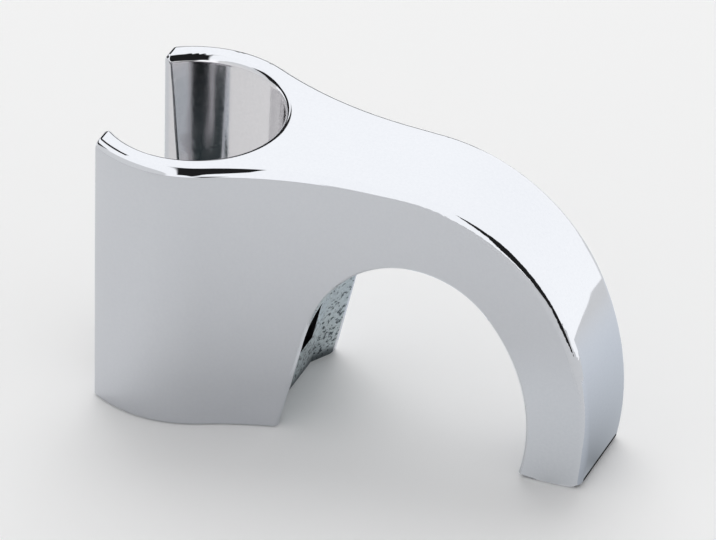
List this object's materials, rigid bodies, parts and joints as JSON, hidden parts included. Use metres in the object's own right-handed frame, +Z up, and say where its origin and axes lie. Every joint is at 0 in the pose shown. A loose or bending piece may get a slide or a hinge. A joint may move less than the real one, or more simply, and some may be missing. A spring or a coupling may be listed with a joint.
{
  "type": "hand shower holder",
  "caption": "Chrome-plated one-piece holder: an open tapered socket takes a hand shower's handle, and an arched hook hangs it over a pipe or spout.",
  "frame": {"origin": "on the socket's axis, in the plane on which the socket's foot and the hook's tip stand", "axes": "+X along the arm from the socket to the hook, +Y across the arm, +Z up along the socket's axis"},
  "size_m": [0.0684, 0.0312, 0.0405],
  "materials": {
    "chrome": "polished chrome plating, with an unpolished as-cast dish inside the arch"
  },
  "bodies": {
    "root": {"holder_body": "chrome"}
  },
  "joints": []
}
